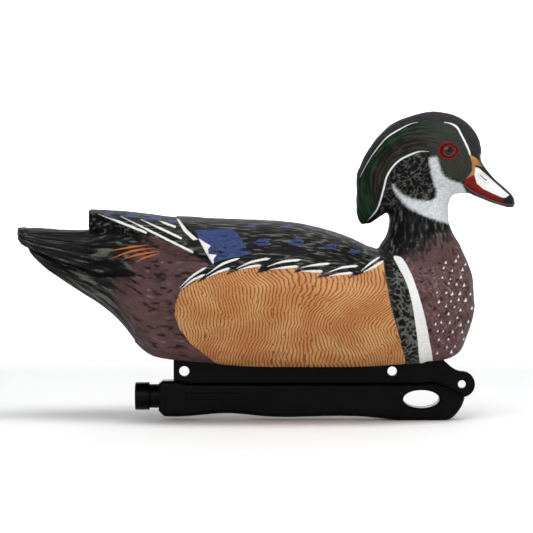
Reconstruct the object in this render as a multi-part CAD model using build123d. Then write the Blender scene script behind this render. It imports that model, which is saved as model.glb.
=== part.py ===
from build123d import *

import math
import os

# Wood duck drake decoy with a weighted keel. Millimetres.
# +X points to the bill, +Y to the duck's left side, +Z up.
# The origin is on the ground under the middle of the decoy's length.

# ---------------------------------------------------------------- driving dimensions
shell_wall = 3.2
section_points = 28
upper_roundness = 2.15
lower_roundness = 2.5

# Height of the widest line, as a share of each section's height
waist = 0.48
# The foremost point of the breast
breast_x = 154.7
breast_z = 85.5

# The folded wing tips end in a step that stands over the tail.
wing_tip_x = -131.5

# Joint between the neck and the hull: an oval plane, with a spigot on the head.
neck_plane_z = 129.0
neck_x = 113.6
neck_length = 60.6
neck_width = 48.0
spigot_depth = 14.0
spigot_wall = 2.8
spigot_gap = 0.15

# Eyes
eye_x = 134.0
eye_z = 200.0
eye_diameter = 12.6
eye_edge_y = 18.2
eye_dome = 3.0
eye_seat_depth = 1.8
eye_boss_diameter = 17.0
eye_boss_depth = 4.5

# Keel
keel_half_width = 9.5
web_thickness = 6.0
web_rear_x = -69.0
tongue_front_x = 131.0
tongue_top_z = 48.5
tongue_gap = 0.1
channel_wall = 3.0
chamber_rear_x = -80.0
chamber_top_z = 27.5
chamber_edge_radius = 3.0
chamber_bore_rear_x = -76.5
chamber_bore_front_x = 95.0
chamber_bore_half_width = 7.0
chamber_bore_floor_z = 6.6
chamber_bore_roof_z = 24.6
ballast_top_z = 18.6

rear_hole = (-61.1, 36.2, 7.5)
front_hole = (93.3, 36.2, 7.0)
nose_hole = (145.1, 26.5, 5.9)
nose_lobe_radius = 9.7

opening_x = 114.8
opening_z = 15.9
opening_length = 26.8
opening_height = 13.3
opening_bevel = 1.2

grip_slit_x = -40.0
grip_slit_length = 40.0
grip_slit_z = 18.0
grip_slit_height = 5.0
grip_slit_depth = 0.8

# Filler neck and screw cap, on one axis along X
cap_axis_z = 17.6
cap_rear_x = -97.6
cap_front_x = -86.9
cap_diameter = 20.6
cap_end_wall = 2.2
cap_edge_radius = 0.8
collar_diameter = 17.8
thread_diameter = 15.4
thread_gap = 0.35
seal_thickness = 1.2
seal_gap = 0.05
filler_bore = 11.0

# ---------------------------------------------------------------- worked-out values
neck_end_x = cap_rear_x + cap_end_wall + seal_thickness + seal_gap
spigot_length = neck_length - 2 * shell_wall
spigot_width = neck_width - 2 * shell_wall
web_half = web_thickness / 2


# ---------------------------------------------------------------- section helpers
def power(value, exponent):
    """Signed power, for superellipse sections."""
    return math.copysign(abs(value) ** exponent, value)


def cross_section(x, low, high, half_width, inset=0.0):
    """Section at x of a body that is rounder on top and fuller below."""
    low = low + inset
    high = high - inset
    half_width = half_width - inset
    middle = low + (high - low) * waist
    points = []
    for step in range(section_points):
        angle = 2 * math.pi * step / section_points
        roundness = upper_roundness if math.sin(angle) >= 0 else lower_roundness
        reach = high - middle if math.sin(angle) >= 0 else middle - low
        across = half_width * power(math.cos(angle), 2 / roundness)
        up = reach * power(math.sin(angle), 2 / roundness)
        points.append((x, across, middle + up))
    return Wire([Spline(*points, periodic=True)])


def level_section(z, rear_x, front_x, half_width, inset=0.0):
    """Oval section at height z, from rear_x to front_x."""
    centre = (rear_x + front_x) / 2
    half_length = (front_x - rear_x) / 2 - inset
    return (Pos(centre, 0, z) * Ellipse(half_length, half_width - inset)).face().outer_wire()


def long_loft(stations, inset=0.0, nose=None):
    """Loft along X through stations of (x, low, high, half width), closed at a nose point if given."""
    sections = [cross_section(*station, inset=inset) for station in stations]
    if nose:
        sections.append(Vertex(*nose))
    return Solid.make_loft(sections)


def tall_loft(levels, inset=0.0):
    """Loft along Z through levels of (z, rear x, front x, half width)."""
    return Solid.make_loft([level_section(*level, inset=inset) for level in levels])


def turned(profile):
    """Revolve an outline of (x, radius) points about the keel cap's axis."""
    outline = Polyline(*[(x, 0, cap_axis_z + r) for x, r in profile], close=True)
    axis = Axis((0, 0, cap_axis_z), (1, 0, 0))
    return revolve(make_face(outline), axis)


def upright_face(outline):
    """Turn a drawing made in the XY plane into one in the XZ plane."""
    return Plane.XZ * outline


# ---------------------------------------------------------------- hull
# x, lowest z, highest z, half width
hull_stations = [
    (-184.6, 133.6, 142.6, 21.0),
    (-177.0, 128.0, 142.6, 25.5),
    (-160.0, 110.5, 141.3, 30.0),
    (-140.0, 97.5, 141.5, 37.0),
    (-119.0, 83.0, 146.0, 46.5),
    (-97.0, 59.0, 150.0, 56.0),
    (-75.0, 46.0, 150.5, 63.5),
    (-42.0, 43.0, 149.5, 68.5),
    (4.0, 40.5, 148.2, 70.0),
    (46.0, 40.5, 141.0, 68.5),
    (81.0, 41.5, 127.5, 63.0),
    (105.0, 43.0, 120.5, 56.0),
    (125.0, 44.5, 115.5, 46.5),
    (139.0, 48.2, 109.5, 36.0),
    (148.0, 62.0, 104.0, 24.0),
    (152.8, 74.5, 96.5, 13.5),
]
# Folded wings: they lie on the back and end in the step over the tail.
wing_stations = [
    (wing_tip_x, 127.0, 155.5, 33.0),
    (-110.0, 116.0, 155.0, 46.0),
    (-88.0, 104.0, 153.0, 56.5),
    (-60.0, 98.0, 149.5, 61.0),
    (-25.0, 104.0, 142.0, 54.0),
]
# z, rear x, front x, half width
neck_base_levels = [
    (92.0, 74.0, 153.6, 44.0),
    (104.0, 76.5, 153.0, 38.5),
    (116.0, 79.8, 149.8, 31.5),
    (neck_plane_z, neck_x - neck_length / 2, neck_x + neck_length / 2, neck_width / 2),
]


def spigot_oval(gap):
    return Ellipse(spigot_length / 2 + gap, spigot_width / 2 + gap)


def hull_outside():
    hull = long_loft(hull_stations, nose=(breast_x, 0, breast_z))
    hull += long_loft(wing_stations)
    hull += tall_loft(neck_base_levels)
    return hull


def hull_cavity():
    """The hollow, with the oval throat that takes the head's spigot."""
    cavity = long_loft(hull_stations[1:-1], inset=shell_wall)
    throat_low = neck_plane_z - spigot_depth - 1.0
    throat = Pos(neck_x, 0, throat_low) * extrude(spigot_oval(spigot_gap), spigot_depth + 2.0)
    funnel = tall_loft(
        [
            (96.0, 80.0, 145.0, 34.0),
            (throat_low, neck_x - 27.0, neck_x + 27.0, 20.7),
        ]
    )
    return cavity + throat + funnel


def make_body_shell():
    outside = hull_outside()
    body = outside - hull_cavity()
    # A channel inside the belly holds the keel's tongue.
    channel_half = web_half + channel_wall
    channel_top = tongue_top_z + channel_wall
    channel = Pos(0, 0, channel_top / 2) * Box(
        2 * tongue_front_x + 2 * channel_wall, 2 * channel_half, channel_top
    )
    rear_cut = Pos(web_rear_x - channel_wall - 50.0, 0, 0) * Box(100.0, 60.0, 200.0)
    body += (channel - rear_cut) & outside
    length = tongue_front_x - web_rear_x + 2 * tongue_gap
    centre = (tongue_front_x + web_rear_x) / 2
    height = tongue_top_z + tongue_gap
    slot = Box(length, web_thickness + 2 * tongue_gap, height)
    return body - Pos(centre, 0, height / 2) * slot


# ---------------------------------------------------------------- head
skull_stations = [
    (67.2, 157.0, 181.0, 5.0),
    (70.5, 149.0, 190.5, 8.5),
    (76.0, 145.2, 200.5, 12.0),
    (83.0, 149.0, 210.3, 15.0),
    (92.0, 153.0, 218.8, 18.0),
    (106.0, 157.5, 225.0, 20.8),
    (124.0, 162.0, 228.5, 21.6),
    (138.0, 165.5, 226.2, 20.4),
    (148.0, 167.5, 220.0, 17.0),
    (154.5, 168.0, 212.5, 13.0),
    (159.0, 169.5, 197.0, 8.5),
]
bill_stations = [
    (152.0, 167.0, 199.0, 12.0),
    (161.0, 164.8, 188.0, 11.2),
    (168.0, 161.9, 178.6, 10.3),
    (175.0, 159.0, 173.0, 9.6),
    (181.0, 157.6, 167.9, 8.4),
    (184.6, 158.6, 164.6, 5.4),
]
neck_levels = [
    (neck_plane_z, neck_x - neck_length / 2, neck_x + neck_length / 2, neck_width / 2),
    (137.0, 88.6, 139.2, 21.6),
    (148.0, 91.0, 135.2, 20.0),
    (158.0, 89.0, 135.5, 19.6),
    (168.0, 88.0, 141.5, 19.0),
    (178.0, 88.0, 143.0, 17.6),
]


def eye_axis_plane(side, y):
    """A plane across the eye's axis at distance y from the middle."""
    return Plane(origin=(eye_x, side * y, eye_z), x_dir=(1, 0, 0), z_dir=(0, side, 0))


def make_head_shell():
    outside = long_loft(skull_stations) + long_loft(bill_stations) + tall_loft(neck_levels)
    hollow = long_loft(skull_stations[2:-1], inset=shell_wall)
    hollow += tall_loft(neck_levels, inset=shell_wall + spigot_wall)
    head = outside - hollow
    spigot_low = neck_plane_z - spigot_depth
    ring = spigot_oval(0.0) - spigot_oval(-spigot_wall)
    head += Pos(neck_x, 0, spigot_low) * extrude(ring, spigot_depth)
    for side in (1, -1):
        boss_inner = eye_edge_y - eye_seat_depth - eye_boss_depth
        boss = eye_axis_plane(side, boss_inner) * Circle(eye_boss_diameter / 2)
        head += extrude(boss, eye_boss_depth)
        seat = eye_axis_plane(side, eye_edge_y - eye_seat_depth) * Circle(eye_diameter / 2)
        head -= extrude(seat, eye_seat_depth + 2 * eye_dome)
    return head


def make_eye(side):
    """A glossy button with a domed front, set into the eye seat."""
    half = eye_diameter / 2
    dome_radius = (half**2 + eye_dome**2) / (2 * eye_dome)
    disc = extrude(
        eye_axis_plane(side, eye_edge_y - eye_seat_depth) * Circle(half),
        eye_seat_depth + eye_dome,
    )
    dome_centre = side * (eye_edge_y + eye_dome - dome_radius)
    return disc & (Pos(eye_x, dome_centre, eye_z) * Sphere(dome_radius))


# ---------------------------------------------------------------- keel
def chamber_outline():
    """Side outline of the ballast chamber and of the ring round the opening."""
    belly_points = [
        (chamber_rear_x + 4, 3.0),
        (-60.0, 3.0),
        (-27.0, 5.2),
        (-3.0, 3.1),
        (40.0, 3.0),
        (70.0, 2.8),
        (86.0, 1.4),
        (97.0, 0.0),
    ]
    nose_points = [(131.0, 0.0), (137.5, 1.8), (143.0, 7.7), (147.0, 16.5)]
    roof_points = [(147.0, 16.5), (141.5, 20.7), (134.0, 24.6), (125.0, 28.4), (112.0, chamber_top_z)]
    with BuildSketch() as sketch:
        with BuildLine():
            Line((chamber_rear_x, 27.0), (chamber_rear_x, 7.0))
            Line((chamber_rear_x, 7.0), belly_points[0])
            Spline(*belly_points)
            Line(belly_points[-1], nose_points[0])
            Spline(*nose_points, tangents=[(1, 0), (0.3, 1)])
            Polyline(*roof_points)
            Line(roof_points[-1], (-58.0, chamber_top_z))
            Line((-58.0, chamber_top_z), (-66.0, 29.4))
            Line((-66.0, 29.4), (-77.0, 29.4))
            Line((-77.0, 29.4), (chamber_rear_x, 27.0))
        make_face()
    return sketch.sketch


def web_outline():
    """Side outline of the thin web, from the chamber up to the tongue, with the nose lobe."""
    lobe_x, lobe_z, _ = nose_hole
    with BuildSketch() as sketch:
        with BuildLine():
            Line((web_rear_x, 20.0), (web_rear_x, tongue_top_z))
            Line((web_rear_x, tongue_top_z), (tongue_front_x, tongue_top_z))
            Line((tongue_front_x, tongue_top_z), (tongue_front_x, 45.0))
            Spline((tongue_front_x, 45.0), (134.0, 42.2), (138.6, 38.4), (lobe_x, lobe_z + nose_lobe_radius))
            CenterArc((lobe_x, lobe_z), nose_lobe_radius, 90, -180)
            Line((lobe_x, lobe_z - nose_lobe_radius), (125.0, 14.0))
            Line((125.0, 14.0), (90.0, 20.0))
            Line((90.0, 20.0), (web_rear_x, 20.0))
        make_face()
    return sketch.sketch


def cross_hole(hole):
    x, z, diameter = hole
    return Pos(x, 0, z) * Rot(90, 0, 0) * Cylinder(diameter / 2, 6 * keel_half_width)


def opening_wire(y, growth):
    """The oval of the opening at distance y from the middle, grown all round."""
    oval = Ellipse(opening_length / 2 + growth, opening_height / 2 + growth)
    plane = Plane(origin=(opening_x, y, opening_z), x_dir=(1, 0, 0), z_dir=(0, -1, 0))
    return (plane * oval).face().outer_wire()


def make_opening():
    """The oval through opening, with a bevelled rim on each side."""
    inner_y = keel_half_width - opening_bevel
    outer_y = keel_half_width + opening_bevel
    opening = Solid.make_loft([opening_wire(-outer_y, 0), opening_wire(outer_y, 0)], ruled=True)
    for side in (1, -1):
        rim = [opening_wire(side * inner_y, 0), opening_wire(side * outer_y, 2 * opening_bevel)]
        opening += Solid.make_loft(rim, ruled=True)
    return opening


def long_edges(solid):
    """The edges of the chamber's two side faces."""
    return [
        edge
        for face in solid.faces().filter_by(Axis.Y)
        for edge in face.edges()
    ]


def make_chamber():
    chamber = extrude(upright_face(chamber_outline()), keel_half_width, both=True)
    return fillet(long_edges(chamber), chamber_edge_radius)


def make_keel_shell():
    keel = make_chamber() + extrude(upright_face(web_outline()), web_half, both=True)
    collar = [(chamber_rear_x + 1, 0), (chamber_rear_x + 1, collar_diameter / 2)]
    collar += [(cap_front_x + 0.1, collar_diameter / 2), (cap_front_x + 0.1, thread_diameter / 2)]
    collar += [(neck_end_x, thread_diameter / 2), (neck_end_x, 0)]
    keel += turned(collar)
    keel -= make_opening()
    for hole in (rear_hole, front_hole, nose_hole):
        keel -= cross_hole(hole)
    bore_length = chamber_bore_front_x - chamber_bore_rear_x
    bore_height = chamber_bore_roof_z - chamber_bore_floor_z
    bore = Box(bore_length, 2 * chamber_bore_half_width, bore_height)
    bore_centre_x = (chamber_bore_front_x + chamber_bore_rear_x) / 2
    keel -= Pos(bore_centre_x, 0, (chamber_bore_roof_z + chamber_bore_floor_z) / 2) * bore
    filler = Rot(0, 90, 0) * Cylinder(filler_bore / 2, 30.0)
    keel -= Pos(neck_end_x + 10.0, 0, cap_axis_z) * filler
    for side in (1, -1):
        slit = Box(grip_slit_length, 2 * grip_slit_depth, grip_slit_height)
        keel -= Pos(grip_slit_x, side * keel_half_width, grip_slit_z) * slit
    return keel


def make_keel_cap():
    bore = thread_diameter / 2 + thread_gap
    outline = [(cap_rear_x, 0), (cap_rear_x, cap_diameter / 2 - cap_edge_radius)]
    outline += [(cap_rear_x + cap_edge_radius, cap_diameter / 2), (cap_front_x, cap_diameter / 2)]
    outline += [(cap_front_x, bore), (cap_rear_x + cap_end_wall, bore)]
    outline += [(cap_rear_x + cap_end_wall, 0)]
    return turned(outline)


def make_cap_seal():
    low = cap_rear_x + cap_end_wall
    high = low + seal_thickness
    radius = thread_diameter / 2
    return turned([(low, 0), (low, radius), (high, radius), (high, 0)])


def make_ballast():
    length = chamber_bore_front_x - chamber_bore_rear_x
    height = ballast_top_z - chamber_bore_floor_z
    centre_x = (chamber_bore_front_x + chamber_bore_rear_x) / 2
    centre_z = (ballast_top_z + chamber_bore_floor_z) / 2
    return Pos(centre_x, 0, centre_z) * Box(length, 2 * chamber_bore_half_width, height)


# ---------------------------------------------------------------- output
nodes = {
    "body_shell": make_body_shell(),
    "head_shell": make_head_shell(),
    "eye_left": make_eye(1),
    "eye_right": make_eye(-1),
    "keel_shell": make_keel_shell(),
    "keel_cap": make_keel_cap(),
    "cap_seal": make_cap_seal(),
    "ballast": make_ballast(),
}

os.makedirs("parts", exist_ok=True)
for node_name, solid in nodes.items():
    export_step(solid, f"parts/{node_name}.step")
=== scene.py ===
import math

import bmesh
import bpy
import numpy as np
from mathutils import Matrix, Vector


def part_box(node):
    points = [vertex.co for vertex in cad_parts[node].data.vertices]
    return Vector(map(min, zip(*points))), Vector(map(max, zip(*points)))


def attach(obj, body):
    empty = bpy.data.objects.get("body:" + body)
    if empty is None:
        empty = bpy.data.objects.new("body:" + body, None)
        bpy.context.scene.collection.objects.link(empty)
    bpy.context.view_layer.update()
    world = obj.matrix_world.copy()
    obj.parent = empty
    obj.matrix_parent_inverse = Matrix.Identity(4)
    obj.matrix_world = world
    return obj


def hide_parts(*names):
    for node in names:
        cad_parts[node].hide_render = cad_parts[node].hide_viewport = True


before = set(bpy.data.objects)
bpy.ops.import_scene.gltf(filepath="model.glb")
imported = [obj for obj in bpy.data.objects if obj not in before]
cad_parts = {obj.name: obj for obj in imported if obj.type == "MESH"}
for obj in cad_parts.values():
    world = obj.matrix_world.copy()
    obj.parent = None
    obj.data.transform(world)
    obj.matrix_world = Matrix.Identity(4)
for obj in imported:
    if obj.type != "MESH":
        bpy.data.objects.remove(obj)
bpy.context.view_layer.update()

# Shapes are worked out in millimetres and turned into metres when a mesh is made.
MM = 0.001

# ---- camera
view_elevation = math.radians(3)
view_distance = 2750
view_centre_z = 113.9
view_width = 395.5  # seen at the centre
sensor_width = 36


def new_object(name, data):
    made = bpy.data.objects.new(name, data)
    bpy.context.scene.collection.objects.link(made)
    return made


def aim(thing, direction):
    thing.rotation_mode = "QUATERNION"
    thing.rotation_quaternion = direction.to_track_quat("-Z", "Y")


def make_camera():
    data = bpy.data.cameras.new("camera")
    data.sensor_width = sensor_width
    data.lens = sensor_width * view_distance / view_width
    data.clip_start = 0.1
    data.clip_end = 20.0
    camera = new_object("camera", data)
    back = Vector((0, -math.cos(view_elevation), math.sin(view_elevation)))
    centre = Vector((0, 0, view_centre_z * MM))
    camera.location = centre + back * view_distance * MM
    aim(camera, -back)
    bpy.context.scene.camera = camera


make_camera()


# ---- number helpers
def smoothstep(low, high, value):
    """0 at low, 1 at high, smooth between. Falls where low is above high."""
    t = np.clip((value - low) / (high - low), 0, 1)
    return t * t * (3 - 2 * t)


def curve(points, at):
    """Smooth curve through (position, value) points, with no overshoot between them."""
    x, y = np.array(points, float).T
    gap = np.diff(x)
    slope = np.diff(y) / gap
    tangent = np.concatenate([slope[:1], np.zeros(len(slope) - 1), slope[-1:]])
    for i in range(1, len(slope)):
        if slope[i - 1] * slope[i] > 0:
            before = 2 * gap[i] + gap[i - 1]
            after = gap[i] + 2 * gap[i - 1]
            tangent[i] = (before + after) / (before / slope[i - 1] + after / slope[i])
    at = np.asarray(at, float)
    i = np.clip(np.searchsorted(x, at) - 1, 0, len(gap) - 1)
    t = np.clip((at - x[i]) / gap[i], 0, 1)
    rest = 1 - t
    return (
        y[i] * (1 + 2 * t) * rest**2
        + y[i + 1] * t**2 * (3 - 2 * t)
        + gap[i] * t * rest * (tangent[i] * rest - tangent[i + 1] * t)
    )


def value_at(points, x):
    return float(curve(points, x))


rounding_steps = 5


def rounded(points, closed=False):
    """More points along a smooth line through the given ones."""
    count = len(points)
    p = np.array(points, float)
    made = []
    for i in range(count if closed else count - 1):
        around = (i - 1, i, i + 1, i + 2)
        a, b, c, d = p[[j % count if closed else min(max(j, 0), count - 1) for j in around]]
        for k in range(rounding_steps):
            t = k / rounding_steps
            straight = 2 * b + (c - a) * t
            bend = (2 * a - 5 * b + 4 * c - d) * t**2
            twist = (3 * b - a - 3 * c + d) * t**3
            made.append(0.5 * (straight + bend + twist))
    if not closed:
        made.append(p[-1])
    return [tuple(q) for q in made]


def segment_distance(start, end, u, v):
    """Share of the way along a segment that is nearest to each point, and the distance squared."""
    (ax, az), (bx, bz) = start, end
    ex, ez = bx - ax, bz - az
    t = np.clip(((u - ax) * ex + (v - az) * ez) / max(ex * ex + ez * ez, 1e-9), 0, 1)
    return t, (u - ax - t * ex) ** 2 + (v - az - t * ez) ** 2


def area_distance(points, u, v):
    """Distance to a closed outline, negative inside it."""
    nearest = np.full(u.shape, 1e9)
    inside = np.zeros(u.shape, bool)
    for (ax, az), (bx, bz) in zip(points, points[1:] + points[:1]):
        nearest = np.minimum(nearest, segment_distance((ax, az), (bx, bz), u, v)[1])
        if az != bz:
            inside ^= ((az > v) != (bz > v)) & (u < ax + (v - az) * (bx - ax) / (bz - az))
    distance = np.sqrt(nearest)
    return np.where(inside, -distance, distance)


brush_tip = 0.25


def line_distance(points, u, v, width=0, taper_start=0, taper_end=0):
    """Distance to a line drawn with a brush of the given width, negative inside it.
    The tapers are the shares of its length over which the brush comes down and lifts off."""
    p = np.array(points, float)
    steps = np.hypot(*np.diff(p, axis=0).T)
    along = np.concatenate([[0], np.cumsum(steps)]) / max(steps.sum(), 1e-9)
    nearest = np.full(u.shape, 1e9)
    place = np.zeros(u.shape)
    for i in range(len(p) - 1):
        t, square = segment_distance(p[i], p[i + 1], u, v)
        closer = square < nearest
        nearest = np.where(closer, square, nearest)
        place = np.where(closer, along[i] + t * (along[i + 1] - along[i]), place)
    brush = np.full(u.shape, width / 2)
    for taper, from_end in ((taper_start, place), (taper_end, 1 - place)):
        if taper:
            brush *= brush_tip + (1 - brush_tip) * smoothstep(0, taper, from_end)
    return np.sqrt(nearest) - brush


def union(*distances):
    """Distance to the nearest of several areas."""
    return np.minimum.reduce(distances)


def brush_strokes(lines, u, v, *brush):
    """Distance to the nearest of several smooth strokes with one brush."""
    return union(*[line_distance(rounded(line), u, v, *brush) for line in lines])


def grain(x, y, z, seed=0):
    """Smooth noise from -1 to 1 with one lump per unit."""
    base = [np.floor(c).astype(np.int64) for c in (x, y, z)]
    part = [c - b for c, b in zip((x, y, z), base)]
    part = [t * t * (3 - 2 * t) for t in part]
    total = np.zeros(np.shape(x))
    for corner in range(8):
        bits = [(corner >> k) & 1 for k in range(3)]
        cell = (
            (base[0] + bits[0]) * 374761393
            + (base[1] + bits[1]) * 668265263
            + (base[2] + bits[2]) * 1440662683
            + seed * 97561
        )
        cell = (cell ^ (cell >> 13)) * 1274126177
        value = ((cell ^ (cell >> 16)) & 0xFFFF) / 32767.5 - 1
        weight = 1.0
        for bit, t in zip(bits, part):
            weight = weight * (t if bit else 1 - t)
        total += value * weight
    return total


def power(value, exponent):
    """Power that keeps the sign."""
    return np.sign(value) * np.abs(value) ** exponent


# ---- mesh helpers
def mesh_object(name, vertices, faces):
    mesh = bpy.data.meshes.new(name)
    mesh.from_pydata((np.asarray(vertices) * MM).tolist(), [], faces)
    mesh.update()
    return new_object(name, mesh)


def loft(name, rings, upright_ends=False):
    """A closed mesh through rings of points. Each end is closed by a fan, or by upright strips
    where the ring's first half is its top and its second half is its underside."""
    rings = [np.asarray(r) for r in rings]
    count = len(rings[0])
    vertices = np.concatenate(rings + [rings[0].mean(0)[None], rings[-1].mean(0)[None]])
    first_centre, last_centre = len(rings) * count, len(rings) * count + 1
    faces = []
    for k in range(len(rings) - 1):
        for i in range(count):
            j = (i + 1) % count
            faces.append((k * count + i, k * count + j, (k + 1) * count + j, (k + 1) * count + i))
    last = (len(rings) - 1) * count
    if upright_ends:
        for i in range(count // 2 - 1):
            strip = (i, i + 1, count - 2 - i, count - 1 - i)
            faces.append(strip[::-1])
            faces.append(tuple(last + k for k in strip))
        return mesh_object(name, vertices[:-2], faces)
    for i in range(count):
        j = (i + 1) % count
        faces.append((j, i, first_centre))
        faces.append((last + i, last + j, last_centre))
    return mesh_object(name, vertices, faces)


def vertex_values(thing, kind):
    out = np.empty(len(thing.data.vertices) * 3)
    thing.data.vertices.foreach_get(kind, out)
    return out.reshape(-1, 3)


def positions(thing):
    return vertex_values(thing, "co") / MM


def move_to(thing, co):
    thing.data.vertices.foreach_set("co", (co * MM).ravel())
    thing.data.update()


def select_only(things):
    bpy.ops.object.select_all(action="DESELECT")
    for thing in things:
        thing.select_set(True)
    bpy.context.view_layer.objects.active = things[0]


def merged(things, voxel):
    """One skin round several overlapping closed meshes."""
    select_only(things)
    bpy.ops.object.join()
    whole = things[0]
    whole.data.remesh_voxel_size = voxel * MM
    whole.data.remesh_voxel_adaptivity = 0
    bpy.ops.object.voxel_remesh()
    return whole


pull_in = 0.5
push_back = -0.53


def relax(thing, rounds, weight=None, hold_size=True):
    """Evens the surface. With hold_size, every second round pushes back, so that it doesn't shrink."""
    co = positions(thing)
    count = len(thing.data.edges)
    edges = np.empty(count * 2, np.int64)
    thing.data.edges.foreach_get("vertices", edges)
    a, b = edges.reshape(-1, 2).T
    both = np.concatenate([a, b])
    other = np.concatenate([b, a])
    degree = np.maximum(np.bincount(both, minlength=len(co)), 1)[:, None]
    share = 1.0 if weight is None else weight[:, None]
    for k in range(rounds):
        mean = np.stack([np.bincount(both, co[other, i], len(co)) for i in range(3)], 1) / degree
        strength = push_back if hold_size and k % 2 else pull_in
        co += strength * share * (mean - co)
    move_to(thing, co)


def subdivide(thing):
    """Splits each face in four and smooths."""
    modifier = thing.modifiers.new("subdivide", "SUBSURF")
    modifier.levels = 1
    select_only([thing])
    bpy.ops.object.modifier_apply(modifier=modifier.name)


def smooth_faces(thing):
    thing.data.polygons.foreach_set("use_smooth", [True] * len(thing.data.polygons))


def keep(thing, name, values):
    """Stores one number for each vertex, for the material to read."""
    made = thing.data.attributes.new(name, "FLOAT", "POINT")
    made.data.foreach_set("value", np.asarray(values, np.float32))


def side_view(co):
    """Where each point shows when the decoy is seen from its side, for the paint outlines."""
    x, y, z = co.T
    near = np.abs(y)
    larger = 1 + near / view_distance
    across = x * larger
    up = view_centre_z + (z - view_centre_z) * larger * math.cos(view_elevation)
    return across, up - near * math.sin(view_elevation)


# ---- body form
# Height and width of the hull along its length, as (x, value).
hull_top = [
    (-184, 139), (-150, 139), (-131.5, 140), (-119, 143), (-97, 148), (-70, 150),
    (-42, 149.6), (-3, 148.5), (17, 147), (32, 144.5), (46, 141), (59, 136.6),
    (68, 132.6), (77, 128.6), (90, 124.5), (105, 120.5), (125, 115.5), (139, 109.5),
    (148, 103), (152.8, 95.5), (154.7, 86.5),
]
hull_bottom = [
    (-184, 134), (-177, 124), (-172.5, 118.5), (-164, 110.3), (-155, 104), (-137, 92.8),
    (-128, 87.3), (-119, 80.8), (-110, 72.6), (-101, 62.6), (-92, 53), (-88, 50),
    (-83, 47.5), (-75, 46), (-42, 43), (4, 40.7), (54, 40.6), (105, 43),
    (132, 45.2), (139, 47.8), (144, 52), (148, 61.5), (152.5, 74), (154.7, 84.5),
]
hull_half_width = [
    (-184, 8), (-177, 13), (-160, 21), (-140, 30), (-119, 43), (-97, 55),
    (-75, 63), (-42, 68.5), (4, 69.6), (46, 68), (81, 62.5), (105, 55.5),
    (125, 46), (139, 35.5), (148, 24), (152.8, 12.5), (154.7, 1),
]
# Fan of the tail: an arched slab, (x, value)
fan_top = [
    (-184.4, 142.8), (-172, 142.4), (-150, 141.4), (-131.5, 141.4), (-110, 141.4), (-95, 140),
]
fan_edge_z = [
    (-184.4, 136.5), (-177, 130.5), (-162, 125), (-144, 118), (-124, 112.5), (-95, 113),
]
fan_half_width = [(-184.4, 24), (-165, 30), (-140, 35), (-115, 40), (-95, 42)]
fan_thickness = 4.6
fan_arch = 3.2
# Folded wings: the top's side edge and the foot of their side wall, (x, value)
wing_top = [
    (-131.5, 156.3), (-110, 155.4), (-88, 153.2), (-70, 150.8), (-50, 150), (-10, 145),
]
wing_edge_z = [
    (-131.5, 153.6), (-124.5, 152.5), (-106.5, 146), (-89.5, 140), (-55, 128.5), (-10, 126),
]
wing_foot_z = [
    (-131.5, 141), (-114, 140), (-98.5, 136), (-86, 130.5), (-55, 118), (-10, 116),
]
wing_half_width = [
    (-131.5, 18), (-120, 24), (-106.5, 31.5), (-89.5, 44.5), (-55, 60.5), (-10, 54),
]
wing_arch = 2.4
foot_inset = 1.5
# How far the corners of the fan and of each wing tip are set forward
corner_setback = 9
# Neck and the flare of its base: z, rear x, front x, half width
neck_levels = [
    (86, 70, 153.8, 47), (96, 73, 153.8, 42), (104, 75.5, 153.4, 38),
    (116, 79.5, 149.9, 31), (123, 81.5, 146.8, 27.6), (129, 83.6, 144.2, 25),
    (137, 88.6, 139.3, 22.4), (143, 90.3, 136.5, 21.2), (148, 91, 135.1, 20.6),
    (154, 90, 134.7, 20.2), (160, 88.5, 135, 19.6), (168, 88, 138, 18.8),
    (178, 90, 140, 17),
]
neck_cut_z = 129
neck_rear_x = 79
ring_count = 128


def even_angles(count=ring_count):
    return 2 * math.pi * np.arange(count) / count


def section(x, low, high, half_width, upper=2.15, lower=2.5, waist=0.48):
    """Ring across the length: rounder above, fuller below."""
    angle = even_angles()
    middle = low + (high - low) * waist
    above = np.sin(angle) >= 0
    roundness = np.where(above, upper, lower)
    reach = np.where(above, high - middle, middle - low)
    across = half_width * power(np.cos(angle), 2 / roundness)
    up = middle + reach * power(np.sin(angle), 2 / roundness)
    return np.stack([np.full(ring_count, x), across, up], 1)


def closing_steps(start, end, count):
    """Positions from start to a round end, closer together towards it."""
    return start + (end - start) * np.sin(np.linspace(0, 1, count) * math.pi / 2)


def hull_rings():
    xs = np.concatenate([np.arange(-184.0, 130.0, 3.0), closing_steps(130.0, 154.7, 24)])
    low, high = curve(hull_bottom, xs), curve(hull_top, xs)
    width = curve(hull_half_width, xs)
    return [section(*values) for values in zip(xs, low, high, width)]


def slab_ring(x, top, edge_z, foot_z, half_width, arch):
    """Ring of an arched slab: its top, side walls and underside."""
    across = np.sin(np.linspace(-math.pi / 2, math.pi / 2, ring_count // 2))
    over = top - (top - edge_z) * np.abs(across) ** arch
    under = foot_z + (top - edge_z) * 0.5 * (1 - np.abs(across) ** arch)
    y = np.concatenate([half_width * across, (half_width - foot_inset) * across[::-1]])
    z = np.concatenate([over, under[::-1]])
    return np.stack([np.full(len(y), x), y, z], 1)


def fan_rings():
    rings = []
    for x in np.arange(-184.4, -95.0, 2.0):
        width, edge = value_at(fan_half_width, x), value_at(fan_edge_z, x)
        ring = slab_ring(x, value_at(fan_top, x), edge, edge - fan_thickness, width, fan_arch)
        # The fan's end is round when seen from above.
        trimmed = smoothstep(-150, -184.4, x)
        ring[:, 0] += corner_setback * trimmed * (np.abs(ring[:, 1]) / width) ** 2.6
        rings.append(ring)
    return rings


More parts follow.
